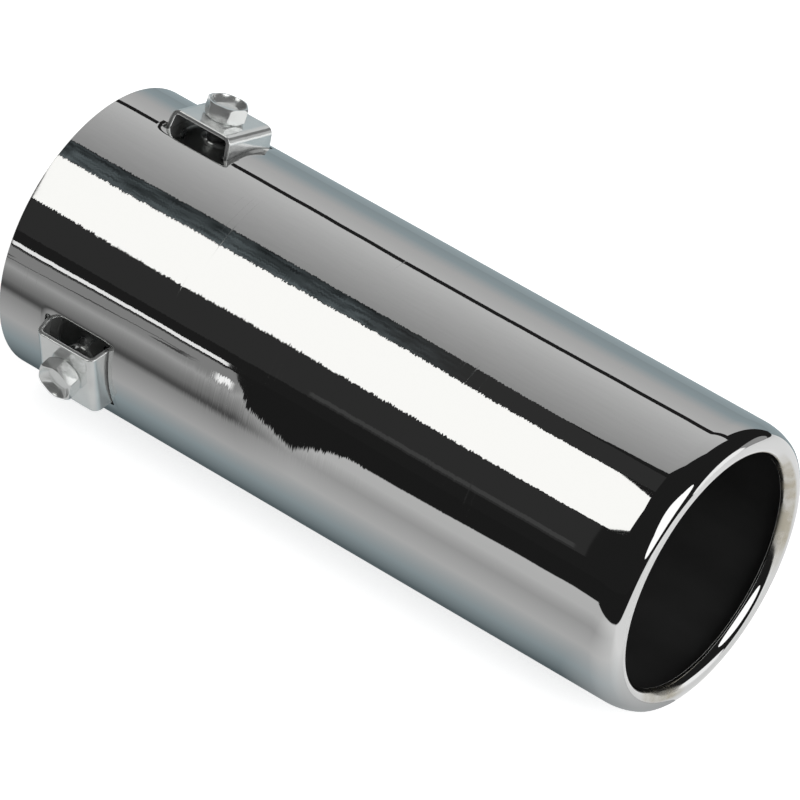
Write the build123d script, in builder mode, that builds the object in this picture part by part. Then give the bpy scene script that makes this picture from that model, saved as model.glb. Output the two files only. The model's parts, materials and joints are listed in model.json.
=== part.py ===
"""Slide-on exhaust tip: a straight chromed sleeve with a rolled-in outlet lip, held on the tail pipe
by clamp screws in staple-shaped sheet brackets.

The sleeve's axis is X, from the inlet end at the origin to the outlet lip. Z is up: the tip lies on
its side on the line under its axis. Angles round the axis start straight up and grow towards -Y.
"""
import os
from math import cos, radians, sin, sqrt, tan

from build123d import *

# Sleeve
tip_length = 156.0
tip_radius = 31.5
tube_wall = 1.0

# Rolled lip, as the outer skin's two tangent arcs: a soft shoulder, then the roll back inside
shoulder_radius = 11.5
shoulder_turn = 23.0
roll_radius = 2.5

# Clamp stations round the inlet end
clamp_count = 3
first_clamp_angle = -15.0
clamp_station = 20.4

# Bracket, one strip of sheet folded like a staple with feet
bracket_sheet = 1.0
bracket_width = 15.0
plate_length = 14.7
plate_standoff = 2.4
leg_splay = 8.0
bend_inside = 0.9
foot_length = 4.0
foot_clearance = 0.05

# Drawn and tapped collar under the plate
collar_wall = 1.1
collar_depth = 1.0

# Slots for the legs and the hole for the screw, in the sleeve's wall
slot_inner_gap = 0.15
slot_outer_gap = 0.3
slot_end_gap = 1.0
slot_end_radius = 0.8
screw_hole_gap = 0.6

# Clamp screw, hex head with its corners trimmed above and below and a dished top
screw_diameter = 5.0
screw_length = 16.0
thread_clearance = 0.05
head_across_flats = 8.0
head_height = 3.5
head_rim_margin = 0.2
head_foot_inset = 0.15
head_bevel_angle = 45.0
head_turns = (12.0, 20.0, 47.0)
dish_rim_width = 0.2
dish_floor_diameter = 5.0
dish_depth = 1.3
screw_tip_chamfer = 0.7
seat_gap = 0.02

# Worked-out radii, all from the sleeve's axis
bore_radius = tip_radius - tube_wall
plate_underside = tip_radius + plate_standoff
plate_top = plate_underside + bracket_sheet
foot_top = sqrt(bore_radius**2 - (bracket_width / 2) ** 2) - foot_clearance
head_seat = plate_top + seat_gap
head_top = head_seat + head_height

# Worked-out sizes along the sleeve, from each clamp's own middle
splay_slope = tan(radians(leg_splay))
leg_thickness = bracket_sheet / cos(radians(leg_splay))
leg_outer_at_wall = plate_length / 2 + (plate_top - tip_radius) * splay_slope
leg_outer_at_foot = plate_length / 2 + (plate_top - foot_top) * splay_slope
foot_end = leg_outer_at_foot + foot_length
slot_inner_edge = leg_outer_at_wall - leg_thickness - slot_inner_gap
slot_outer_edge = leg_outer_at_foot + slot_outer_gap
slot_length = bracket_width + 2 * slot_end_gap

tapped_diameter = screw_diameter + 2 * thread_clearance
clamp_angles = [first_clamp_angle + 360.0 * i / clamp_count for i in range(clamp_count)]


def outward(angle):
    """Direction away from the sleeve's axis at an angle round it."""
    return Vector(0, -sin(radians(angle)), cos(radians(angle)))


def clamp_plane(angle, radius):
    """Plane facing outwards at a clamp station, with its x along the sleeve."""
    return Plane(outward(angle) * radius + Vector(clamp_station, 0, 0), x_dir=(1, 0, 0), z_dir=outward(angle))


def clamp_section(angle):
    """Plane through a clamp's axis and the sleeve's, with its y outwards from the sleeve's axis."""
    across = outward(angle).cross(Vector(1, 0, 0))
    return Plane(Vector(clamp_station, 0, 0), x_dir=(1, 0, 0), z_dir=-across)


os.makedirs("parts", exist_ok=True)

# Sleeve with its rolled lip, leg slots and screw holes
with BuildPart() as tip_tube:
    with BuildSketch(Plane.XZ):
        with BuildLine():
            roll_start = shoulder_radius * sin(radians(shoulder_turn))
            roll_reach = roll_radius * (1 - sin(radians(shoulder_turn)))
            wall_end = tip_length - roll_start - roll_reach
            Line((0, tip_radius), (wall_end, tip_radius))
            CenterArc((wall_end, tip_radius - shoulder_radius), shoulder_radius, 90, -shoulder_turn)
            roll_spread = shoulder_radius - roll_radius
            roll_middle = (
                wall_end + roll_spread * sin(radians(shoulder_turn)),
                tip_radius - shoulder_radius + roll_spread * cos(radians(shoulder_turn)),
            )
            CenterArc(roll_middle, roll_radius, 90 - shoulder_turn, shoulder_turn - 180)
            offset(amount=tube_wall, side=Side.RIGHT)
        make_face()
    revolve(axis=Axis.X)
    for angle in clamp_angles:
        with BuildSketch(clamp_plane(angle, 0)):
            slot_middle = (slot_inner_edge + slot_outer_edge) / 2
            with Locations((-slot_middle, 0), (slot_middle, 0)):
                RectangleRounded(slot_outer_edge - slot_inner_edge, slot_length, slot_end_radius)
            Circle(screw_diameter / 2 + screw_hole_gap)
        extrude(amount=plate_top, mode=Mode.SUBTRACT)
tip_tube.part.label = "tip_tube"
export_step(tip_tube.part, "parts/tip_tube.step")

# Brackets, folded from one strip each, with legs through the slots and feet behind the wall
for number, angle in enumerate(clamp_angles, start=1):
    with BuildPart() as clamp_bracket:
        with BuildSketch(clamp_section(angle)):
            with BuildLine():
                FilletPolyline(
                    (-foot_end, foot_top),
                    (-leg_outer_at_foot, foot_top),
                    (-plate_length / 2, plate_top),
                    (plate_length / 2, plate_top),
                    (leg_outer_at_foot, foot_top),
                    (foot_end, foot_top),
                    radius=[bend_inside, bend_inside + bracket_sheet, bend_inside + bracket_sheet, bend_inside],
                )
                offset(amount=bracket_sheet, side=Side.RIGHT)
            make_face()
        extrude(amount=bracket_width / 2, both=True)
        with BuildSketch(clamp_plane(angle, plate_underside)):
            Circle(tapped_diameter / 2 + collar_wall)
        extrude(amount=-collar_depth)
        with BuildSketch(clamp_plane(angle, plate_top)):
            Circle(tapped_diameter / 2)
        extrude(amount=-(bracket_sheet + collar_depth), mode=Mode.SUBTRACT)
    clamp_bracket.part.label = f"clamp_bracket_{number}"
    export_step(clamp_bracket.part, f"parts/clamp_bracket_{number}.step")

# Clamp screws, seated on their brackets
head_corner_radius = head_across_flats / sqrt(3)
head_rim_radius = head_across_flats / 2 + head_rim_margin
head_foot_radius = head_across_flats / 2 - head_foot_inset
bevel_slope = tan(radians(head_bevel_angle))
rim_bevel_drop = (head_corner_radius - head_rim_radius) * bevel_slope
foot_bevel_rise = (head_corner_radius - head_foot_radius) * bevel_slope
for number, angle in enumerate(clamp_angles, start=1):
    seat = clamp_plane(angle, head_seat)
    head_turn = head_turns[(number - 1) % len(head_turns)]
    with BuildPart() as clamp_screw:
        with BuildSketch(seat):
            RegularPolygon(head_across_flats / 2, 6, major_radius=False, rotation=head_turn)
        extrude(amount=head_height)
        with BuildSketch(clamp_section(angle)):
            with BuildLine():
                Polyline(
                    (0, head_seat),
                    (head_foot_radius, head_seat),
                    (head_corner_radius, head_seat + foot_bevel_rise),
                    (head_corner_radius, head_top - rim_bevel_drop),
                    (head_rim_radius, head_top),
                    (head_across_flats / 2 - dish_rim_width, head_top),
                    (dish_floor_diameter / 2, head_top - dish_depth),
                    (0, head_top - dish_depth),
                    close=True,
                )
            make_face()
        revolve(axis=Axis(seat.origin, seat.z_dir), mode=Mode.INTERSECT)
        with BuildSketch(seat):
            Circle(screw_diameter / 2)
        extrude(amount=-screw_length)
        tip_rim = clamp_screw.edges().sort_by(Axis(seat.origin, seat.z_dir))[0]
        chamfer(tip_rim, length=screw_tip_chamfer)
    clamp_screw.part.label = f"clamp_screw_{number}"
    export_step(clamp_screw.part, f"parts/clamp_screw_{number}.step")
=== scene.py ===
"""Looks of a slide-on exhaust tip: a chromed sleeve with a rolled lip, three folded clamp brackets with
their hex screws, and a small studio round them.

Sizes are in metres and angles in radians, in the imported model's own frame: the sleeve's axis is X, from
the inlet end at the origin to the outlet lip, and Z is up.
"""
import json
from math import atan2, cos, degrees, pi, radians, sin, sqrt, tan

import bmesh
import bpy
from bpy.props import FloatProperty, FloatVectorProperty, IntProperty, PointerProperty
from mathutils import Matrix, Vector


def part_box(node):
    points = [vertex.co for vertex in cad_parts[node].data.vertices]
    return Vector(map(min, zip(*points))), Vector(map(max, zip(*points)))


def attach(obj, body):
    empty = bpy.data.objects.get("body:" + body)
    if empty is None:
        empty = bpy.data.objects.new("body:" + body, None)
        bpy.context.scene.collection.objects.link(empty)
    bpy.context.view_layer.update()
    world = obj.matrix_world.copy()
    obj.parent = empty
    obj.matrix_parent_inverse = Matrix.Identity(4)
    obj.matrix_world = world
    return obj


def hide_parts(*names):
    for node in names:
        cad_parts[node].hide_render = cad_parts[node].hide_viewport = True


bl_info = {
    "name": "Exhaust tip",
    "version": (1, 0, 0),
    "blender": (4, 5, 0),
    "location": "3D View > Sidebar > Exhaust tip",
    "description": "Models a slide-on exhaust tip with its clamp brackets and screws, and a small studio",
    "category": "Object",
}

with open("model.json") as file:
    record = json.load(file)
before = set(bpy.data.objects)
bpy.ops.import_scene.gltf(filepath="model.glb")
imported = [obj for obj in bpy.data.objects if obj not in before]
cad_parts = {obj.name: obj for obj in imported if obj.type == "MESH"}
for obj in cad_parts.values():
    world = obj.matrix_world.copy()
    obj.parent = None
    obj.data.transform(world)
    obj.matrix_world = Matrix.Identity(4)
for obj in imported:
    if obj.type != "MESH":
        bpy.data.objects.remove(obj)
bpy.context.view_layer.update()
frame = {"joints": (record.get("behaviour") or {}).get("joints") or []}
tube_low, tube_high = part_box("tip_tube")
MILLI = 0.001

# Material slots of a piece of sheet: its outer face, its inner face and its cut edges
OUTER, INNER, CUT = range(3)


def length(name, description, millimetres):
    """A length setting, given in millimetres and kept in metres."""
    return FloatProperty(
        name=name,
        description=description,
        default=millimetres * MILLI,
        min=0.0,
        precision=5,
        unit="LENGTH",
    )


def angle(name, description, degree):
    """An angle setting, given in degrees and kept in radians."""
    return FloatProperty(
        name=name,
        description=description,
        default=radians(degree),
        subtype="ANGLE",
    )


def colour(name, description, red, green, blue):
    """A linear colour setting."""
    return FloatVectorProperty(
        name=name,
        description=description,
        default=(red, green, blue),
        min=0.0,
        subtype="COLOR",
    )


def share(name, description, default):
    """A plain number setting, such as a roughness or a light level."""
    return FloatProperty(name=name, description=description, default=default, min=0.0)


class TIP_PG_sleeve(bpy.types.PropertyGroup):
    """Sizes and finish of the chromed sleeve."""

    tip_length: length("Length", "Inlet end to the front of the lip", tube_high.x / MILLI)
    tip_radius: length("Radius", "Outside of the straight wall", tube_high.z / MILLI)
    wall: length("Wall", "Thickness of the tube's wall", 1.0)
    shoulder_radius: length("Shoulder radius", "Soft bend at the start of the lip", 11.5)
    shoulder_turn: angle("Shoulder turn", "How far the soft bend turns inwards", 23.0)
    roll_radius: length("Roll radius", "Tight roll that turns the lip back inside", 2.5)
    edge_round: length("Edge rounding", "Rounding of the cut edges", 0.18)
    round_from: angle("Round from", "Edges that turn more than this are rounded", 60.0)
    smooth_to: angle("Smooth to", "Edges that turn more than this look sharp", 35.0)
    slot_inner_edge: length("Slot inner edge", "Clamp's middle to the near side of a leg slot", 6.67)
    slot_outer_edge: length("Slot outer edge", "Clamp's middle to the far side of a leg slot", 8.41)
    slot_length: length("Slot length", "Leg slot, round the sleeve", 17.0)
    slot_corner: length("Slot corner", "Radius of a leg slot's corners", 0.8)
    screw_hole: length("Screw hole", "Radius of the hole for a screw", 3.1)
    waves: length("Waves", "Height of the faint waves in the tube", 0.6)
    dent: length("Dent", "How far the wall is pressed in under a bracket", 0.35)
    segments: IntProperty(name="Segments", description="Sides of the turned skin", default=256, min=24)
    chrome: colour("Chrome", "Reflection colour of the plate", 0.63, 0.632, 0.628)
    chrome_roughness: share("Chrome roughness", "Blur of the polished plate", 0.018)
    # The lip's tan tint is a painted reflection of the shaded floor under the lip, seen in the chrome.
    painted_lip_reflection: colour("Painted_lip_reflection", "Reflection colour of the tan film at the lip", 0.43, 0.40, 0.33)
    # The inner wall's near-black colour is painted shade inside the tube.
    inside: colour("Inside", "Colour of the dark inner wall", 0.022, 0.022, 0.022)
    bare: colour("Bare metal", "Colour of the cut edges", 0.80, 0.80, 0.78)


class TIP_PG_bracket(bpy.types.PropertyGroup):
    """Sizes and finish of a folded clamp bracket."""

    sheet: length("Sheet", "Thickness of the strip", 1.0)
    width: length("Width", "Width of the strip, round the sleeve", 15.0)
    plate_length: length("Plate length", "Top plate between its folds, along the sleeve", 14.7)
    plate_top: length("Plate top", "Sleeve's axis to the top of the plate", 34.9)
    leg_splay: angle("Leg splay", "Lean of the legs away from each other", 8.0)
    bend_inside: length("Bend radius", "Inside radius of the folds", 0.9)
    foot_top: length("Foot top", "Sleeve's axis to the top of the feet", 29.51)
    foot_length: length("Foot length", "Foot beyond its fold's corner", 4.0)
    edge_round: length("Edge rounding", "Rounding of the sheared edges", 0.24)
    round_from: angle("Round from", "Edges that turn more than this are rounded", 50.0)
    smooth_to: angle("Smooth to", "Edges that turn more than this look sharp", 40.0)
    tapped_radius: length("Tapped radius", "Radius of the screw's hole", 2.55)
    collar_wall: length("Collar wall", "Wall of the drawn collar under the plate", 1.1)
    collar_depth: length("Collar depth", "How far the collar hangs under the plate", 1.0)
    zinc: colour("Zinc", "Reflection colour of the bright zinc plate", 0.91, 0.925, 0.915)
    zinc_roughness: share("Zinc roughness", "Blur of the zinc plate", 0.14)
    # This share darkens a copy of the zinc for the brackets' inner faces and the screws' threads: painted
    # shade.
    painted_shade_level: share("Dull level", "Brightness of the dull insides and threads, as a share", 0.4)
    sheared_level: share("Sheared level", "Brightness of the sheared edges, as a share", 0.5)
    dull_roughness: share("Dull roughness", "Blur of the dull insides and threads", 0.35)


class TIP_PG_screw(bpy.types.PropertyGroup):
    """Sizes and finish of a clamp screw."""

    seat: length("Seat", "Sleeve's axis to the underside of the head", 34.92)
    shank_radius: length("Shank radius", "Outside of the thread", 2.5)
    shank_length: length("Shank length", "Underside of the head to the tip", 16.0)
    tip_chamfer: length("Tip chamfer", "Chamfer at the shank's end", 0.7)
    pitch: length("Pitch", "Rise of the thread in one turn", 0.8)
    thread_depth: length("Thread depth", "Crest to root of the thread", 0.49)
    across_flats: length("Across flats", "Hex head's width over its flats", 8.0)
    head_height: length("Head height", "Seat to the rim", 3.5)
    rim_margin: length("Rim margin", "Rim circle outside the flats", 0.2)
    foot_inset: length("Foot inset", "Seat circle inside the flats", 0.15)
    dish_rim: length("Dish rim", "Width of the rim round the dish, at a flat", 0.2)
    dish_floor_radius: length("Dish floor", "Radius of the dish's flat floor", 2.5)
    dish_depth: length("Dish depth", "Depth of the dish in the head", 1.3)
    corner_round: length("Corner rounding", "Bevel width along the head's upright corners", 0.2)
    edge_round: length("Edge rounding", "Rounding of the head's edges", 0.09)
    round_from: angle("Round from", "Edges that turn more than this are rounded", 28.0)
    smooth_to: angle("Smooth to", "Edges that turn more than this look sharp", 30.0)
    zinc_roughness: share("Zinc roughness", "Blur of the zinc plate", 0.17)


class TIP_PG_stage(bpy.types.PropertyGroup):
    """Camera and studio."""

    azimuth: angle("Azimuth", "Camera's turn round the tip, from looking along +Y", 32.58)
    elevation: angle("Elevation", "Camera's height above the horizon", 35.837)
    roll: angle("Roll", "Camera's turn about its own line of sight", 9.238)
    distance: length("Distance", "Camera to the point that it looks at", 1400.0)
    aim: FloatVectorProperty(
        name="Aim",
        description="Point that the camera looks at",
        default=(0.0768, 0.0026, -0.0026),
        subtype="XYZ",
        unit="LENGTH",
    )
    lens: FloatProperty(name="Lens", description="Focal length in millimetres", default=315.0, unit="CAMERA")
    floor_size: length("Floor size", "Side of the pale floor", 6000.0)
    floor: colour("Floor", "Colour of the pale floor", 0.82, 0.82, 0.82)
    floor_lift: share("Floor lift", "Light that the floor adds to what it reflects", 0.74)
    mirror_lift: share("Mirror lift", "The same, where the floor is seen in a reflection", 0.4)
    ambient: share("Ambient", "Level of the room's even light", 0.48)
    lamp_power: FloatProperty(
        name="Lamp power",
        description="Power of the soft side lamp in watts",
        default=3.0,
        min=0.0,
        unit="POWER",
    )
    lamp_distance: length("Lamp distance", "Lip to the soft side lamp", 800.0)
    lamp_size: length("Lamp size", "Side of the soft side lamp", 600.0)
    tent_size: length("Tent size", "Side of the dark tent round the tip", 2400.0)
    card_distance: length("Card distance", "Sleeve's axis to the curved cards", 500.0)
    card_lift: length("Card lift", "Height of a table card over the floor", 0.1)


# Working in Blender as by hand


def clear_selection():
    """Leaves edit mode and deselects everything."""
    if bpy.context.object and bpy.context.object.mode == "EDIT":
        bpy.ops.object.mode_set(mode="OBJECT")
    bpy.ops.object.select_all(action="DESELECT")


def activate(piece):
    """Makes one piece the only selected object, and the active one."""
    clear_selection()
    piece.select_set(True)
    bpy.context.view_layer.objects.active = piece


def name_new(name):
    """Names the object just added, fixes its place in its mesh and returns it."""
    bpy.ops.object.transform_apply(location=True, rotation=True, scale=True)
    piece = bpy.context.object
    piece.name = name
    piece.data.name = name
    return piece


def edit(piece):
    """Opens a piece in edit mode with nothing selected."""
    activate(piece)
    bpy.ops.object.mode_set(mode="EDIT")
    bpy.ops.mesh.select_mode(type="VERT")
    bpy.ops.mesh.select_all(action="DESELECT")


def choose(piece, parts, test):
    """Selects, in edit mode, those of a piece's edges or faces that pass a test."""
    bpy.ops.mesh.select_mode(type={"edges": "EDGE", "faces": "FACE"}[parts])
    bpy.ops.mesh.select_all(action="DESELECT")
    mesh = bmesh.from_edit_mesh(piece.data)
    for part in getattr(mesh, parts):
        if test(part):
            part.select_set(True)
    bmesh.update_edit_mesh(piece.data)


def upright(edge):
    """Whether an edge runs along Z."""
    run = edge.verts[1].co - edge.verts[0].co
    return abs(run.z) > 0.99 * run.length


def face_out():
    """Merges doubles and turns all normals outwards, in edit mode."""
    bpy.ops.mesh.select_all(action="SELECT")
    bpy.ops.mesh.remove_doubles(threshold=1e-7)
    bpy.ops.mesh.normals_make_consistent(inside=False)


def extrude(x, y, z):
    """Extrudes what is selected by a vector."""
    bpy.ops.mesh.extrude_region_move(TRANSFORM_OT_translate={"value": (x, y, z)})


def modify(piece, kind, **settings):
    """Adds a modifier to a piece and applies it."""
    activate(piece)
    modifier = piece.modifiers.new(kind.title(), kind)
    for setting, value in settings.items():
        setattr(modifier, setting, value)
    bpy.ops.object.modifier_apply(modifier=modifier.name)


def combine(piece, operation, tool):
    """Unites, subtracts or intersects a piece with a tool, and removes the tool."""
    modify(piece, "BOOLEAN", operation=operation, solver="EXACT", object=tool)
    bpy.data.objects.remove(tool)


def thicken(piece, thickness):
    """Gives a skin its thickness, inwards, with its inner face and its rim in their own materials."""
    modify(
        piece,
        "SOLIDIFY",
        thickness=thickness,
        offset=-1,
        use_even_offset=True,
        material_offset=INNER,
        material_offset_rim=CUT,
    )


def round_edges(piece, width, from_angle, material=OUTER):
    """Rounds the edges that turn more than an angle, in one of the piece's materials."""
    modify(
        piece,
        "BEVEL",
        width=width,
        segments=3,
        limit_method="ANGLE",
        angle_limit=from_angle,
        material=material,
    )


def smooth(piece, from_angle):
    """Shades a piece smooth, but for the edges that turn more than an angle, and keeps its flats flat."""
    activate(piece)
    bpy.ops.object.shade_smooth_by_angle(angle=from_angle)
    modify(piece, "WEIGHTED_NORMAL", keep_sharp=True)


def draw_rings(name, segments, stations, closed):
    """Draws a turned skin up the Z axis, ring by ring, through stations of (height, radius)."""
    clear_selection()
    height, radius = stations[0]
    bpy.ops.mesh.primitive_circle_add(vertices=segments, radius=radius, location=(0, 0, height))
    piece = name_new(name)
    edit(piece)
    bpy.ops.mesh.select_all(action="SELECT")
    for next_height, next_radius in stations[1:]:
        extrude(0, 0, next_height - height)
        grow = next_radius / radius
        bpy.ops.transform.resize(value=(grow, grow, 1), center_override=(0, 0, next_height))
        height, radius = next_height, next_radius
    if closed:
        bpy.ops.mesh.select_all(action="SELECT")
        bpy.ops.mesh.fill_holes(sides=0)
    face_out()
    bpy.ops.object.mode_set(mode="OBJECT")
    return piece


def add_plane(name, middle, size_x, size_y):
    """Adds a level rectangle."""
    clear_selection()
    bpy.ops.mesh.primitive_plane_add(size=1, location=middle)
    bpy.context.object.scale = (size_x, size_y, 1)
    return name_new(name)


def draw_line(name, points):
    """Draws a line of edges through points, from a plane merged to one vertex."""
    clear_selection()
    bpy.ops.mesh.primitive_plane_add(location=points[0])
    piece = name_new(name)
    edit(piece)
    bpy.ops.mesh.select_all(action="SELECT")
    bpy.ops.mesh.merge(type="CENTER")
    for start, end in zip(points, points[1:]):
        extrude(*(Vector(end) - Vector(start)))
    bpy.ops.object.mode_set(mode="OBJECT")
    return piece


def place_copy(pattern, name, place):
    """Copies a pattern with its own mesh, at a place that is then fixed in the mesh."""
    activate(pattern)
    bpy.ops.object.duplicate()
    bpy.context.object.matrix_world = place
    return name_new(name)


def clamp_places():
    """Each clamp's number and place, as a move along the sleeve's axis and a turn round it."""
    for number, joint in enumerate(frame["joints"], start=1):
        low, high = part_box(f"clamp_screw_{number}")
        station = Matrix.Translation(((low.x + high.x) / 2, 0, 0))
        turn = atan2(-joint["axis"][1], joint["axis"][2])
        yield number, station @ Matrix.Rotation(turn, 4, "X")


# Materials

# Tints of the studio's light
PLAIN = (1.0, 1.0, 1.0)
WARM = (1.0, 0.995, 0.975)
COOL = (0.84, 1.0, 1.06)
BLUISH = (0.80, 1.0, 1.08)


def lit(level, tint=PLAIN):
    """A tint at a level of light, as an opaque colour."""
    return (*(level * Vector(tint)), 1)


def new_material(name):
    """A material with an empty node tree, as (material, node tree)."""
    material = bpy.data.materials.new(name)
    material.use_nodes = True
    material.node_tree.nodes.clear()
    return material, material.node_tree


def node(tree, kind, inputs=None, **settings):
    """Adds a shader node. Inputs are sockets to link or values to set, by the input's name or number."""
    made = tree.nodes.new("ShaderNode" + kind)
    for setting, value in settings.items():
        setattr(made, setting, value)
    for key, value in (inputs or {}).items():
        if isinstance(value, bpy.types.NodeSocket):
            tree.links.new(value, made.inputs[key])
        else:
            made.inputs[key].default_value = value
    return made


def set_surface(tree, shader):
    """Ends a material with the shader of its surface."""
    node(tree, "OutputMaterial", {"Surface": shader.outputs[0]})


def stretched_noise(tree, scale, detail=2.0, roughness=0.5):
    """Noise on object coordinates, with its own number of grains a metre along each axis."""
    place = node(tree, "TexCoord").outputs["Object"]
    grain = node(tree, "Mapping", {"Vector": place, "Scale": scale})
    inputs = {"Vector": grain.outputs[0], "Scale": 1.0, "Detail": detail, "Roughness": roughness}
    return node(tree, "TexNoise", inputs).outputs["Fac"]


def spread(tree, value, low, high, to_low, to_high):
    """Maps a value from one range to another, clamped."""
    inputs = {"Value": value, "From Min": low, "From Max": high, "To Min": to_low, "To Max": to_high}
    return node(tree, "MapRange", inputs).outputs["Result"]


def ramp(tree, position, stops):
    """Colour along a position, from stops of (place, level, tint)."""
    low, high = stops[0][0], stops[-1][0]
    made = node(tree, "ValToRGB", {"Fac": spread(tree, position, low, high, 0.0, 1.0)})
    elements = made.color_ramp.elements
    while len(elements) < len(stops):
        elements.new(0.5)
    for element, (place, level, tint) in zip(elements, stops):
        element.position = (place - low) / (high - low)
        element.color = lit(level, tint)
    return made.outputs["Color"]


def curve(tree, position, points):
    """Number along a position, from points of (place, number)."""
    return ramp(tree, position, [(place, number, PLAIN) for place, number in points])


def blend(tree, amount, first, second):
    """Mixes two colours, from the first at 0 to the second at 1."""
    return node(tree, "MixRGB", {"Fac": amount, "Color1": first, "Color2": second}).outputs[0]


def relief(tree, height):
    """Normal of a surface that is raised by a height in metres."""
    return node(tree, "Bump", {"Strength": 1.0, "Distance": 1.0, "Height": height}).outputs[0]


def object_place(tree):
    """X, Y and Z of the point on the object, as outputs by name."""
    return node(tree, "SeparateXYZ", {0: node(tree, "TexCoord").outputs["Object"]}).outputs


def calculate(tree, operation, *values):
    """One step of arithmetic on sockets and numbers."""
    return node(tree, "Math", dict(enumerate(values)), operation=operation).outputs[0]


def between(tree, value, low, high, soft):
    """1 where a value lies between two bounds, with soft sides."""
    rise = spread(tree, value, low, low + soft, 0.0, 1.0)
    fall = spread(tree, value, high - soft, high, 1.0, 0.0)
    return calculate(tree, "MULTIPLY", rise, fall)


def angle_round_axis(tree):
    """Angle round the sleeve's axis in degrees, from straight up towards the front."""
    place = object_place(tree)
    turn = calculate(tree, "ARCTAN2", calculate(tree, "MULTIPLY", place["Y"], -1.0), place["Z"])
    return calculate(tree, "DEGREES", turn)


def polish_lines(tree, normal):
    """Tilts a normal a little, in fine lines that run round the sleeve, as from a polishing belt."""
    fine_tilt = 0.014
    broad_tilt = 0.004
    tick_tilt = 0.03
    around = node(tree, "VectorMath", {0: (1, 0, 0), 1: normal}, operation="CROSS_PRODUCT")
    fine = spread(tree, stretched_noise(tree, (4400, 60, 60), 0.0), 0.0, 1.0, -fine_tilt, fine_tilt)
    broad = spread(tree, stretched_noise(tree, (130, 40, 40), 1.0), 0.0, 1.0, -broad_tilt, broad_tilt)
    ticks = spread(tree, stretched_noise(tree, (3600, 70, 70), 0.0), 0.0, 1.0, -1.0, 1.0)
    few = calculate(tree, "MULTIPLY", ticks, calculate(tree, "MULTIPLY", ticks, ticks))
    lines = calculate(tree, "MULTIPLY_ADD", few, tick_tilt, fine)
    along_tube = object_place(tree)["X"]
    turn = angle_round_axis(tree)
    along_patch = between(tree, along_tube, 0.045, 0.095, 0.015)
    patch = calculate(tree, "MULTIPLY", along_patch, between(tree, turn, 73.0, 95.0, 4.0))
    worn_side = calculate(tree, "MULTIPLY_ADD", between(tree, turn, 22.0, 68.0, 8.0), 0.7, 0.3)
    depth = calculate(tree, "MULTIPLY_ADD", patch, 2.6, worn_side)
    depth = calculate(tree, "MULTIPLY", depth, spread(tree, along_tube, 0.105, 0.140, 1.0, 0.3))
    lines = calculate(tree, "MULTIPLY_ADD", lines, depth, broad)
    tilt = node(tree, "VectorMath", {0: around.outputs[0], "Scale": lines}, operation="SCALE")
    tilted = node(tree, "VectorMath", {0: normal, 1: tilt.outputs[0]}, operation="ADD")
    return node(tree, "VectorMath", {0: tilted.outputs[0]}, operation="NORMALIZE").outputs[0]


def short_marks(tree):
    """A few hairline marks that run round the sleeve, gathered in patches."""
    lines = stretched_noise(tree, (3200, 45, 45), 0.0)
    patches = spread(tree, stretched_noise(tree, (45, 60, 60), 1.0), 0.58, 0.64, 0.0, 1.0)
    return calculate(tree, "MULTIPLY", spread(tree, lines, 0.73, 0.78, 0.0, 1.0), patches)


def clamp_dents(tree):
    """1 where the wall is pressed in a little under a bracket, between its leg slots, else 0."""
    flat_turn = 12.0
    rim_turn = 19.0
    half_length = 0.0095
    soft_end = 0.003
    places = [place for number, place in clamp_places()]
    middle = places[0].translation.x
    half_spacing = 180.0 / len(places)
    turned = calculate(tree, "SUBTRACT", angle_round_axis(tree), degrees(places[0].to_euler().x))
    off_clamp = calculate(tree, "ABSOLUTE", calculate(tree, "WRAP", turned, half_spacing, -half_spacing))
    under_plate = spread(tree, off_clamp, flat_turn, rim_turn, 1.0, 0.0)
    eased = node(tree, "MapRange", {"Value": under_plate}, interpolation_type="SMOOTHSTEP")
    along_tube = object_place(tree)["X"]
    between_legs = between(tree, along_tube, middle - half_length, middle + half_length, soft_end)
    return calculate(tree, "MULTIPLY", eased.outputs["Result"], between_legs)


def lip_painted_reflection_mask(tree):
    """Where the lip's inner side, at the far side and at the bottom, is tinted tan and dulled a little: the
    tan is a painted reflection of the shaded floor under the lip.
    """
    far_side = [(-118.0, 0), (-100.0, 1), (-58.0, 1), (-40.0, 0)]
    bottom = [(138.0, 0), (150.0, 1), (168.0, 1), (178.0, 0)]
    place = object_place(tree)
    across = calculate(tree, "MULTIPLY", place["Y"], place["Y"])
    radius = calculate(tree, "SQRT", calculate(tree, "MULTIPLY_ADD", place["Z"], place["Z"], across))
    inner_side = between(tree, radius, 0.0252, 0.0281, 0.0006)
    zone = calculate(tree, "MULTIPLY", inner_side, curve(tree, angle_round_axis(tree), far_side + bottom))
    clouds = spread(tree, stretched_noise(tree, (300, 300, 300), 3.0), 0.3, 0.6, 0.4, 1.0)
    on_lip = spread(tree, place["X"], 0.1528, 0.1534, 0.0, 1.0)
    return calculate(tree, "MULTIPLY", calculate(tree, "MULTIPLY", zone, clouds), on_lip)


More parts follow.
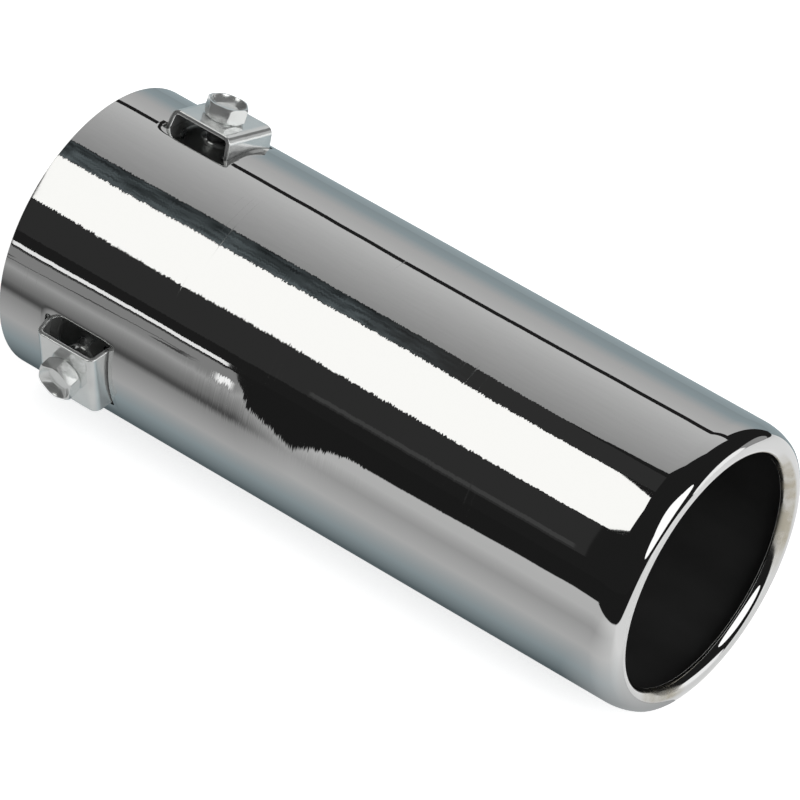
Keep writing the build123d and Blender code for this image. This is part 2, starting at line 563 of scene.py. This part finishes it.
def chrome_plate(sleeve):
    """Polished chrome: faint waves and dents, polishing lines, short marks, and at the lip a tan painted
    reflection of the shaded floor under it.
    """
    material, tree = new_material("chrome_plate")
    dents = calculate(tree, "MULTIPLY", clamp_dents(tree), -sleeve.dent)
    height = calculate(tree, "MULTIPLY_ADD", stretched_noise(tree, (11, 30, 30), 1.0), sleeve.waves, dents)
    smears = stretched_noise(tree, (60, 160, 160), 4.0, 0.6)
    polish = spread(tree, smears, 0.5, 0.8, sleeve.chrome_roughness, 2.0 * sleeve.chrome_roughness)
    # Tan tint at the lip: painted reflection of the shaded floor under the lip.
    painted_lip_reflection = lip_painted_reflection_mask(tree)
    dulled = calculate(tree, "MULTIPLY_ADD", painted_lip_reflection, 0.3, polish)
    inputs = {
        "Base Color": blend(tree, painted_lip_reflection, lit(1.0, sleeve.chrome), lit(1.0, sleeve.painted_lip_reflection)),
        "Metallic": 1.0,
        "Roughness": calculate(tree, "MULTIPLY_ADD", short_marks(tree), 0.15, dulled),
        "Normal": polish_lines(tree, relief(tree, height)),
    }
    set_surface(tree, node(tree, "BsdfPrincipled", inputs))
    return material


def dark_inside(sleeve):
    """Inner wall of unplated steel, dull, and nearly black as painted shade inside the tube."""
    material, tree = new_material("dark_inside")
    blotches = stretched_noise(tree, (40, 90, 90), 5.0, 0.6)
    inputs = {
        "Base Color": ramp(tree, blotches, [(0.3, 0.85, sleeve.inside), (0.7, 1.15, sleeve.inside)]),
        "Roughness": spread(tree, blotches, 0.3, 0.7, 0.45, 0.65),
        "Specular IOR Level": 0.3,
    }
    set_surface(tree, node(tree, "BsdfPrincipled", inputs))
    return material


def bare_edge(sleeve):
    """Cut edge of the tube: bare metal with fine saw lines across it."""
    material, tree = new_material("bare_edge")
    lines = stretched_noise(tree, (3000, 700, 700), 2.0)
    inputs = {
        "Base Color": ramp(tree, lines, [(0.3, 0.85, sleeve.bare), (0.7, 1.0, sleeve.bare)]),
        "Metallic": 0.2,
        "Roughness": spread(tree, lines, 0.3, 0.7, 0.35, 0.5),
    }
    set_surface(tree, node(tree, "BsdfPrincipled", inputs))
    return material


def zinc_plate(name, level, metallic, roughness):
    """Zinc plate at a share of its brightness, made once: a little cloudy and wavy, with a fine grain."""
    if name in bpy.data.materials:
        return bpy.data.materials[name]
    zinc = bpy.context.scene.tip_bracket.zinc
    material, tree = new_material(name)
    wave_height = 0.06 * MILLI
    grain_height = 0.0015 * MILLI
    clouds = stretched_noise(tree, (220, 220, 220), 3.0)
    grain = calculate(tree, "MULTIPLY", stretched_noise(tree, (2500, 2500, 2500), 2.0), grain_height)
    waves = stretched_noise(tree, (260, 260, 260), 1.0)
    inputs = {
        "Base Color": ramp(tree, clouds, [(0.3, 0.92 * level, zinc), (0.7, level, zinc)]),
        "Metallic": metallic,
        "Roughness": spread(tree, clouds, 0.3, 0.7, 0.75 * roughness, 1.4 * roughness),
        "Normal": relief(tree, calculate(tree, "MULTIPLY_ADD", waves, wave_height, grain)),
    }
    set_surface(tree, node(tree, "BsdfPrincipled", inputs))
    return material


def dull_zinc():
    """Zinc at a lower brightness on the brackets' inner faces and on the screws' threads: painted shade,
    where the plate and the folds keep the light out.
    """
    bracket = bpy.context.scene.tip_bracket
    return zinc_plate("dull_zinc", bracket.painted_shade_level, 0.75, bracket.dull_roughness)


# Sleeve


def skin_stations(sleeve):
    """Stations of the outer skin as (place along the axis, radius), from the inlet to the lip's return."""
    turn = sleeve.shoulder_turn
    shoulder = sleeve.shoulder_radius
    roll = sleeve.roll_radius
    wall_end = sleeve.tip_length - shoulder * sin(turn) - roll * (1 - sin(turn))
    stations = []
    rings = 40
    for ring in range(rings):
        stations.append((wall_end * ring / rings, sleeve.tip_radius))
    shoulder_steps = 14
    for step in range(shoulder_steps):
        at = turn * step / shoulder_steps
        stations.append((wall_end + shoulder * sin(at), sleeve.tip_radius - shoulder * (1 - cos(at))))
    spread_to_roll = shoulder - roll
    middle = wall_end + spread_to_roll * sin(turn)
    middle_radius = sleeve.tip_radius - shoulder + spread_to_roll * cos(turn)
    roll_steps = 40
    for step in range(roll_steps + 1):
        at = turn + (pi - turn) * step / roll_steps
        stations.append((middle + roll * sin(at), middle_radius + roll * cos(at)))
    return stations


def slot_cutter(sleeve):
    """Cutter for one clamp at the top of the sleeve: its two leg slots and its screw hole."""
    height = sleeve.tip_radius
    slot_middle = (sleeve.slot_inner_edge + sleeve.slot_outer_edge) / 2
    slot_width = sleeve.slot_outer_edge - sleeve.slot_inner_edge
    parts = []
    for side in (-1, 1):
        clear_selection()
        bpy.ops.mesh.primitive_cube_add(
            size=1,
            location=(side * slot_middle, 0, height),
            scale=(slot_width, sleeve.slot_length, height),
        )
        slot = name_new("leg_slot")
        edit(slot)
        choose(slot, "edges", upright)
        bpy.ops.mesh.bevel(offset=sleeve.slot_corner, segments=5, affect="EDGES")
        parts.append(slot)
    clear_selection()
    bpy.ops.mesh.primitive_cylinder_add(
        vertices=48, radius=sleeve.screw_hole, depth=height, location=(0, 0, height)
    )
    hole = name_new("screw_hole")
    clear_selection()
    for part in (*parts, hole):
        part.select_set(True)
    bpy.context.view_layer.objects.active = hole
    bpy.ops.object.join()
    return hole


class TIP_OT_sleeve(bpy.types.Operator):
    """Model the chromed sleeve with its rolled lip, leg slots and screw holes"""

    bl_idname = "tip.sleeve"
    bl_label = "Chromed sleeve"

    def execute(self, context):
        sleeve = context.scene.tip_sleeve
        tube = draw_rings("chromed_sleeve", sleeve.segments, skin_stations(sleeve), closed=False)
        tube.rotation_euler = (0, pi / 2, 0)
        activate(tube)
        name_new("chromed_sleeve")
        # The inner face gets the near-black inside material: painted shade in the tube.
        for material in (chrome_plate(sleeve), dark_inside(sleeve), bare_edge(sleeve)):
            tube.data.materials.append(material)
        thicken(tube, sleeve.wall)
        round_edges(tube, sleeve.edge_round, sleeve.round_from, CUT)
        pattern = slot_cutter(sleeve)
        for number, place in clamp_places():
            combine(tube, "DIFFERENCE", place_copy(pattern, f"cutter_{number}", place))
        bpy.data.objects.remove(pattern)
        smooth(tube, sleeve.smooth_to)
        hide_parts("tip_tube")
        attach(tube, "sleeve")
        return {"FINISHED"}


# Brackets


def half_strip(bracket):
    """Top face of half a bracket: plate, fold, leg, fold back and foot, drawn out from the plate's edge."""
    splay = bracket.leg_splay
    fold = pi / 2 - splay
    outer_bend = bracket.bend_inside + bracket.sheet
    flat = bracket.plate_length / 2 - outer_bend * tan(fold / 2)
    drop = bracket.plate_top - bracket.foot_top
    leg = drop / cos(splay) - (outer_bend + bracket.bend_inside) * tan(fold / 2)
    strip = add_plane("clamp_bracket_pattern", (flat / 2, 0, bracket.plate_top), flat, bracket.width)
    edit(strip)
    choose(strip, "edges", lambda edge: min(vert.co.x for vert in edge.verts) > 0.9 * flat)
    centre = Vector((flat, 0, bracket.plate_top - outer_bend))
    bpy.ops.mesh.spin(steps=10, angle=-fold, center=centre, axis=(0, 1, 0))
    down = Vector((sin(splay), 0, -cos(splay)))
    out = Vector((cos(splay), 0, sin(splay)))
    extrude(*(leg * down))
    centre = centre + out * (outer_bend + bracket.bend_inside) + leg * down
    bpy.ops.mesh.spin(steps=8, angle=fold, center=centre, axis=(0, 1, 0))
    extrude(bracket.foot_length - bracket.bend_inside * tan(fold / 2), 0, 0)
    face_out()
    bpy.ops.object.mode_set(mode="OBJECT")
    return strip


def fold_bracket(bracket):
    """One bracket over the top of the sleeve's axis, with its drawn collar and tapped hole."""
    strip = half_strip(bracket)
    modify(strip, "MIRROR", use_axis=(True, False, False), merge_threshold=1e-6)
    sheared_zinc = zinc_plate("sheared_zinc", bracket.sheared_level, 0.9, bracket.dull_roughness)
    bright_zinc = zinc_plate("bracket_zinc", 1.0, 0.75, bracket.zinc_roughness)
    # The inner faces get the darker copy of the zinc: painted shade under the plate and inside the legs.
    for material in (bright_zinc, dull_zinc(), sheared_zinc):
        strip.data.materials.append(material)
    thicken(strip, bracket.sheet)
    round_edges(strip, bracket.edge_round, bracket.round_from)
    underside = bracket.plate_top - bracket.sheet
    overlap = bracket.sheet / 2
    bottom = underside - bracket.collar_depth
    collar_radius = bracket.tapped_radius + bracket.collar_wall
    stations = [
        (bottom, collar_radius - bracket.edge_round),
        (bottom + bracket.edge_round, collar_radius),
        (underside + overlap, collar_radius),
    ]
    combine(strip, "UNION", draw_rings("collar", segments=64, stations=stations, closed=True))
    stations = [
        (bottom - overlap, bracket.tapped_radius),
        (bracket.plate_top + overlap, bracket.tapped_radius),
    ]
    combine(strip, "DIFFERENCE", draw_rings("tapped_hole", segments=64, stations=stations, closed=True))
    smooth(strip, bracket.smooth_to)
    return strip


class TIP_OT_brackets(bpy.types.Operator):
    """Model the folded clamp brackets, one at each clamp"""

    bl_idname = "tip.brackets"
    bl_label = "Clamp brackets"

    def execute(self, context):
        pattern = fold_bracket(context.scene.tip_bracket)
        for number, place in clamp_places():
            piece = place_copy(pattern, f"folded_bracket_{number}", place)
            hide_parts(f"clamp_bracket_{number}")
            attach(piece, "sleeve")
        bpy.data.objects.remove(pattern)
        return {"FINISHED"}


# Screws

# How far each head is turned from the sleeve's axis, in degrees
HEAD_TURNS = (12.0, 20.0, 47.0)


def hex_head(screw):
    """The head: a hex bar trimmed by a turned envelope with bevelled ends and a dish."""
    corner = screw.across_flats / sqrt(3)
    rim = screw.across_flats / 2 + screw.rim_margin
    foot = screw.across_flats / 2 - screw.foot_inset
    dish = screw.across_flats / 2 - screw.dish_rim
    top = screw.seat + screw.head_height
    clearance = screw.edge_round
    clear_selection()
    bpy.ops.mesh.primitive_cylinder_add(
        vertices=6,
        radius=corner,
        depth=screw.head_height + 2 * clearance,
        location=(0, 0, screw.seat + screw.head_height / 2),
        rotation=(0, 0, pi / 6),
    )
    head = name_new("clamp_screw_pattern")
    edit(head)
    choose(head, "edges", upright)
    bpy.ops.mesh.bevel(offset=screw.corner_round, segments=4, affect="EDGES")
    bpy.ops.object.mode_set(mode="OBJECT")
    reach = corner + clearance
    dish_edge_depth = 0.25 * screw.dish_depth
    dish_edge_inset = 0.12 * (dish - screw.dish_floor_radius)
    stations = [
        (screw.seat, foot),
        (screw.seat + reach - foot, reach),
        (top - reach + rim, reach),
        (top, rim),
        (top, dish),
        (top - dish_edge_depth, dish - dish_edge_inset),
        (top - screw.dish_depth, screw.dish_floor_radius),
    ]
    combine(head, "INTERSECT", draw_rings("head_envelope", segments=120, stations=stations, closed=True))
    round_edges(head, screw.edge_round, screw.round_from)
    return head


def threaded_shank(screw):
    """The shank: a helical thread trimmed by a turned envelope with a chamfered tip."""
    root = screw.shank_radius - screw.thread_depth
    crest = screw.shank_radius
    tip = screw.seat - screw.shank_length
    pitch = screw.pitch
    start = tip - 2 * pitch
    turns = int(screw.shank_length / pitch) + 5
    profile = [
        (root, 0, start),
        (crest, 0, start + 5 / 16 * pitch),
        (crest, 0, start + 7 / 16 * pitch),
        (root, 0, start + 3 / 4 * pitch),
        (root, 0, start + pitch),
    ]
    shank = draw_line("shank", profile)
    modify(
        shank,
        "SCREW",
        axis="Z",
        angle=2 * pi,
        screw_offset=pitch,
        iterations=turns,
        steps=32,
        render_steps=32,
        use_merge_vertices=True,
        merge_threshold=1e-6,
    )
    join = screw.seat + screw.edge_round
    edit(shank)
    for height, side in ((tip - pitch / 2, -1), (join + pitch / 2, 1)):
        bpy.ops.mesh.select_all(action="SELECT")
        bpy.ops.mesh.bisect(
            plane_co=(0, 0, height), plane_no=(0, 0, side), use_fill=True, clear_outer=True
        )
    face_out()
    bpy.ops.object.mode_set(mode="OBJECT")
    stations = [
        (tip, crest - screw.tip_chamfer),
        (tip + screw.tip_chamfer, crest),
        (join, crest),
    ]
    combine(shank, "INTERSECT", draw_rings("shank_envelope", segments=96, stations=stations, closed=True))
    return shank


class TIP_OT_screws(bpy.types.Operator):
    """Model the hex clamp screws, one in each bracket"""

    bl_idname = "tip.screws"
    bl_label = "Clamp screws"

    def execute(self, context):
        screw = context.scene.tip_screw
        pattern = hex_head(screw)
        combine(pattern, "UNION", threaded_shank(screw))
        pattern.data.materials.clear()
        pattern.data.materials.append(zinc_plate("screw_zinc", 1.0, 0.8, screw.zinc_roughness))
        pattern.data.materials.append(dull_zinc())
        # Faces below the head's seat, the threads, get the darker copy of the zinc: painted shade.
        edit(pattern)
        choose(pattern, "faces", lambda face: face.calc_center_median().z < screw.seat - screw.edge_round)
        pattern.active_material_index = len(pattern.data.materials) - 1
        bpy.ops.object.material_slot_assign()
        bpy.ops.object.mode_set(mode="OBJECT")
        smooth(pattern, screw.smooth_to)
        for number, place in clamp_places():
            head_turn = radians(HEAD_TURNS[(number - 1) % len(HEAD_TURNS)])
            turned = place @ Matrix.Rotation(head_turn, 4, "Z")
            piece = place_copy(pattern, f"hex_screw_{number}", turned)
            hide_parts(f"clamp_screw_{number}")
            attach(piece, f"screw_{number}")
        bpy.data.objects.remove(pattern)
        return {"FINISHED"}


# Studio


def seen_rays(tree, straight, mirrored):
    """A level for rays straight from the camera and one for rays off or through shiny things, else 0."""
    path = node(tree, "LightPath").outputs
    either = calculate(tree, "MAXIMUM", path["Is Glossy Ray"], path["Is Transmission Ray"])
    seen = calculate(tree, "MULTIPLY", path["Is Camera Ray"], straight)
    return calculate(tree, "MULTIPLY_ADD", either, mirrored, seen)


def floor_material(stage):
    """Pale backlit table: it takes the tip's shadow, and adds some light where it is looked at."""
    material, tree = new_material("pale_floor")
    matt = node(tree, "BsdfDiffuse", {"Color": lit(1.0, stage.floor)})
    lift = seen_rays(tree, stage.floor_lift, stage.mirror_lift)
    glow = node(tree, "Emission", {"Color": lit(1.0), "Strength": lift})
    both = node(tree, "AddShader", {0: matt.outputs[0], 1: glow.outputs[0]})
    set_surface(tree, both)
    return material


def glow_material(name, light):
    """Glowing card, of one colour or of the colour socket that a function makes in its node tree."""
    material, tree = new_material(name)
    glow = node(tree, "Emission", {"Color": light(tree) if callable(light) else light, "Strength": 1.0})
    set_surface(tree, glow)
    return material


def turned_light(stops, wander=0.0, fade=None):
    """Light of a curved card that is uneven round the sleeve, as a function for its material.

    Its stops are (angle in degrees, level, tint). Its flecks wander, which means that they take their light
    from up to so many degrees away. It can fade out from one place in X to another.
    """

    def light_at(tree):
        flecks = spread(tree, stretched_noise(tree, (120, 60, 60), 4.0), 0.25, 0.75, -wander, wander)
        light = ramp(tree, calculate(tree, "ADD", angle_round_axis(tree), flecks), stops)
        if fade:
            light = blend(tree, spread(tree, object_place(tree)["X"], *fade, 0.0, 1.0), light, lit(0.04))
        return light

    return light_at


def table_light():
    """Light of the table top in front of the sleeve, as a function for its material.

    Its greys go by the distance in front of the sleeve's axis. Beyond an edge, which swings towards the
    sleeve about a third of the way along it, the table is dark.
    """
    # The dark bluish stops near the axis paint the sleeve's shadow on the table, as seen in the chrome.
    near = [(0.0, 0.08, BLUISH), (0.018, 0.13, BLUISH), (0.03, 0.39, COOL)]
    inlet_stops = near + [
        (0.042, 0.54, PLAIN),
        (0.063, 0.35, PLAIN),
        (0.071, 0.10, PLAIN),
        (0.074, 0.10, PLAIN),
        (0.086, 0.23, PLAIN),
        (0.133, 0.47, PLAIN),
        (0.165, 0.34, PLAIN),
        (0.2, 0.31, PLAIN),
    ]
    outlet_stops = near + [
        (0.046, 0.6, PLAIN),
        (0.069, 0.46, PLAIN),
        (0.097, 0.66, PLAIN),
        (0.2, 0.69, PLAIN),
    ]
    edge_points = [
        (0.066, 0.64),
        (0.07, 0.32),
        (0.074, 0.11),
        (0.086, 0.075),
        (0.101, 0.135),
        (0.165, 0.16),
        (0.216, 0.1),
        (0.26, 0.085),
    ]

    def light_at(tree):
        place = object_place(tree)
        front = calculate(tree, "MULTIPLY", place["Y"], -1.0)
        station = calculate(tree, "MULTIPLY_ADD", front, 0.5, place["X"])
        outlet_side = spread(tree, station, 0.070, 0.085, 0.0, 1.0)
        light = blend(tree, outlet_side, ramp(tree, front, inlet_stops), ramp(tree, front, outlet_stops))
        bare_side = spread(tree, place["X"], 0.135, 0.185, 0.0, 1.0)
        light = blend(tree, bare_side, light, lit(1.0))
        swing = spread(tree, stretched_noise(tree, (25, 0, 0), 1.0), 0.3, 0.7, -0.05, 0.05)
        crease = between(tree, calculate(tree, "ADD", front, swing), 0.204, 0.228, 0.003)
        crease = calculate(tree, "MULTIPLY", crease, spread(tree, station, 0.054, 0.060, 0.9, 0.0))
        light = blend(tree, crease, light, lit(0.05))
        along_edge = between(tree, front, 0.150, 0.235, 0.015)
        spot = calculate(tree, "MULTIPLY", along_edge, between(tree, station, 0.0645, 0.0708, 0.0015))
        light = blend(tree, spot, light, lit(1.4))
        beyond = calculate(tree, "SUBTRACT", front, curve(tree, station, edge_points))
        return blend(tree, spread(tree, beyond, -0.002, 0.004, 0.0, 1.0), light, lit(0.016))

    return light_at


def set_card(piece, light):
    """Makes a piece a studio card of a light, which shows only as a reflection."""
    piece.data.materials.append(glow_material(piece.name, light))
    piece.visible_camera = False
    piece.visible_diffuse = False
    piece.visible_shadow = False
    piece.visible_transmission = False
    piece.visible_volume_scatter = False


def curved_card(name, light, distance, turn, reach, slant=0.0, trims=()):
    """Card bent round the sleeve's axis.

    Its turn is (start, end) in degrees and its reach (left, right) along the axis. The right end is at its
    given place over the axis, and slants along the sleeve by a share of Y. A trim cuts a corner off, from
    one place in plan to another, and keeps the side to the left of that line.
    """
    start, end = (radians(side) for side in turn)
    left, right = reach
    far_right = right + abs(slant) * distance
    clear_selection()
    bpy.ops.mesh.primitive_cylinder_add(
        vertices=240,
        radius=distance,
        depth=far_right - left,
        end_fill_type="NOTHING",
        location=((left + far_right) / 2, 0, 0),
        rotation=(0, pi / 2, 0),
    )
    card = name_new(name)
    edit(card)
    cuts = [((0, 0, 0), (0, cos(start), sin(start)))]
    cuts.append(((0, 0, 0), (0, -cos(end), -sin(end))))
    cuts.append(((right, 0, 0), (1, -slant, 0)))
    for (x, y), (next_x, next_y) in trims:
        cuts.append(((x, y, 0), (next_y - y, x - next_x, 0)))
    for point, outside in cuts:
        bpy.ops.mesh.select_all(action="SELECT")
        bpy.ops.mesh.bisect(plane_co=point, plane_no=outside, clear_outer=True)
    bpy.ops.object.mode_set(mode="OBJECT")
    set_card(card, light)


def facing(away):
    """Rotation of a card or a lamp that looks back along a direction."""
    return away.to_track_quat("Z", "Y").to_euler()


def facing_card(name, light, target, direction, distance, width, height):
    """Flat oval card that faces a target from a direction."""
    clear_selection()
    away = Vector(direction).normalized()
    place = Vector(target) + distance * away
    bpy.ops.mesh.primitive_circle_add(vertices=96, radius=0.5, fill_type="NGON", location=place)
    bpy.context.object.rotation_euler = facing(away)
    bpy.context.object.scale = (width, height, 1)
    set_card(name_new(name), light)


def floor_card(name, light, lift, reach, depth):
    """Card lying over the floor, with a reach of (left, right) and a depth of (near, far) from the axis."""
    left, right = reach
    near, far = depth
    middle = ((left + right) / 2, -(near + far) / 2, tube_low.z + lift)
    set_card(add_plane(name, middle, right - left, far - near), light)


def dark_tent(stage):
    """Dark tent over the tip, open at the floor."""
    clear_selection()
    middle = tube_low.z + stage.tent_size / 2
    bpy.ops.mesh.primitive_cube_add(size=stage.tent_size, location=(0, 0, middle))
    tent = name_new("dark_tent")
    edit(tent)
    choose(tent, "faces", lambda face: face.calc_center_median().z < 0)
    bpy.ops.mesh.delete(type="FACE")
    bpy.ops.object.mode_set(mode="OBJECT")
    set_card(tent, lit(0.018))


# What the flat cards face, the lip's middle and the top screw's head, and where the side box stands
LIP = (tube_high.x, 0, 0)
HEAD = (0.024, 0.007, 0.036)
SIDE = (0.68, -0.32, 0.66)


def build_cards(stage):
    """Cards round the tip that give the chrome its bands, from the tent and the top to the table."""
    dark_tent(stage)
    far = stage.card_distance
    left = -0.272
    soft_trim = ((-0.045, -0.227), (-0.069, -0.1545))
    soft_light = lit(1.5, WARM)
    curved_card("soft_box", soft_light, far, (18.0, 55.4), (left, 0.02), slant=0.19, trims=[soft_trim])
    gap_stops = [(-3.0, 0.02, COOL), (10.0, 0.07, COOL), (23.0, 0.16, COOL)]
    gap_light = turned_light(gap_stops, wander=12.0, fade=(-0.165, -0.115))
    curved_card("dim_gap", gap_light, far, (4.0, 17.5), (left, -0.05))
    curved_card("dim_front", lit(0.038), far, (55.8, 81.0), (left, -0.06))
    curved_card("dim_streak", lit(0.07), far - 0.01, (76.5, 79.5), (-0.155, -0.06))
    curved_card("front_strip", lit(1.2), far, (88.8, 91.4), (left, -0.185))
    curved_card("front_line", lit(0.05), far, (92.6, 93.2), (left, -0.185))
    grey_stops = [(-45.0, 0.7, PLAIN), (-22.0, 0.55, PLAIN), (2.0, 0.4, PLAIN)]
    grey_trims = [((-0.08, -0.0218), (0.055, 0.075)), ((0.055, 0.075), (0.125, 0.21))]
    grey_light = turned_light(grey_stops, wander=2.0)
    curved_card("grey_card", grey_light, far, (-46.1, 3.6), (left, 0.125), trims=grey_trims)
    wall_stops = [(-92.0, 0.36, COOL), (-80.0, 0.42, COOL), (-66.0, 0.56, PLAIN), (-48.0, 0.66, PLAIN)]
    curved_card("back_wall", turned_light(wall_stops), far, (-93.0, -49.9), (-0.5, 0.075))
    facing_card("low_card", lit(1.3), HEAD, (0.857, 0.515, 0.09), distance=0.7, width=0.34, height=0.30)
    facing_card("low_wall", lit(0.38), HEAD, (0.63, 0.77, 0.09), distance=0.71, width=0.48, height=0.24)
    side = stage.tent_size / 2
    floor_card("front_table", table_light(), stage.card_lift, (-side, side), (0.002, side))
    floor_card("back_table", lit(0.4, COOL), stage.card_lift, (-side, 0.15), (-side, -0.09))
    facing_card("side_box", lit(1.6), LIP, SIDE, distance=0.6, width=0.57, height=0.64)


def light_room(stage):
    """Room of even light, which is plain white where it is looked at."""
    world = bpy.data.worlds.new("studio_room")
    world.use_nodes = True
    tree = world.node_tree
    tree.nodes.clear()
    level = spread(tree, seen_rays(tree, 1.0, 1.0), 0.0, 1.0, stage.ambient, 1.0)
    room = node(tree, "Background", {"Color": lit(1.0), "Strength": level})
    node(tree, "OutputWorld", {"Surface": room.outputs[0]})
    bpy.context.scene.world = world


def hang_lamp(stage):
    """Soft lamp behind the side box, which gives light but isn't seen."""
    away = Vector(SIDE).normalized()
    bpy.ops.object.light_add(type="AREA", location=Vector(LIP) + stage.lamp_distance * away)
    lamp = bpy.context.object
    lamp.name = "side_lamp"
    lamp.rotation_euler = facing(away)
    lamp.data.energy = stage.lamp_power
    lamp.data.size = stage.lamp_size
    lamp.visible_camera = False
    lamp.visible_glossy = False


def set_camera(stage):
    """Camera at the photo's angle."""
    bpy.ops.object.camera_add()
    camera = bpy.context.object
    camera.name = "camera"
    camera.data.lens = stage.lens
    back = Matrix.Rotation(stage.azimuth, 4, "Z") @ Matrix.Rotation(pi / 2 - stage.elevation, 4, "X")
    pull = Matrix.Translation((0, 0, stage.distance))
    roll = Matrix.Rotation(stage.roll, 4, "Z")
    camera.matrix_world = Matrix.Translation(stage.aim) @ back @ pull @ roll
    bpy.context.scene.camera = camera


class TIP_OT_stage(bpy.types.Operator):
    """Set up the pale floor, the studio cards, the light and the camera"""

    bl_idname = "tip.stage"
    bl_label = "Studio and camera"

    def execute(self, context):
        stage = context.scene.tip_stage
        clear_selection()
        bpy.ops.mesh.primitive_plane_add(size=stage.floor_size, location=(0, 0, tube_low.z))
        floor = name_new("pale_floor")
        floor.data.materials.append(floor_material(stage))
        build_cards(stage)
        light_room(stage)
        hang_lamp(stage)
        set_camera(stage)
        context.scene.view_settings.view_transform = "Standard"
        return {"FINISHED"}


class TIP_PT_panel(bpy.types.Panel):
    """Lists the tip's pieces and the studio in the sidebar."""

    bl_label = "Exhaust tip"
    bl_idname = "TIP_PT_panel"
    bl_space_type = "VIEW_3D"
    bl_region_type = "UI"
    bl_category = "Exhaust tip"

    def draw(self, context):
        for operator in OPERATORS:
            self.layout.operator(operator.bl_idname)


OPERATORS = (TIP_OT_sleeve, TIP_OT_brackets, TIP_OT_screws, TIP_OT_stage)
SETTINGS = {
    "tip_sleeve": TIP_PG_sleeve,
    "tip_bracket": TIP_PG_bracket,
    "tip_screw": TIP_PG_screw,
    "tip_stage": TIP_PG_stage,
}


def register():
    """Registers the settings, the operators and the panel."""
    for name, group in SETTINGS.items():
        bpy.utils.register_class(group)
        setattr(bpy.types.Scene, name, PointerProperty(type=group))
    for operator in OPERATORS:
        bpy.utils.register_class(operator)
    bpy.utils.register_class(TIP_PT_panel)


def unregister():
    """Takes back what register did."""
    bpy.utils.unregister_class(TIP_PT_panel)
    for operator in reversed(OPERATORS):
        bpy.utils.unregister_class(operator)
    for name, group in SETTINGS.items():
        delattr(bpy.types.Scene, name)
        bpy.utils.unregister_class(group)


def main():
    """Builds the tip and its studio."""
    register()
    for build in (bpy.ops.tip.sleeve, bpy.ops.tip.brackets, bpy.ops.tip.screws, bpy.ops.tip.stage):
        build()


if __name__ == "__main__":
    main()
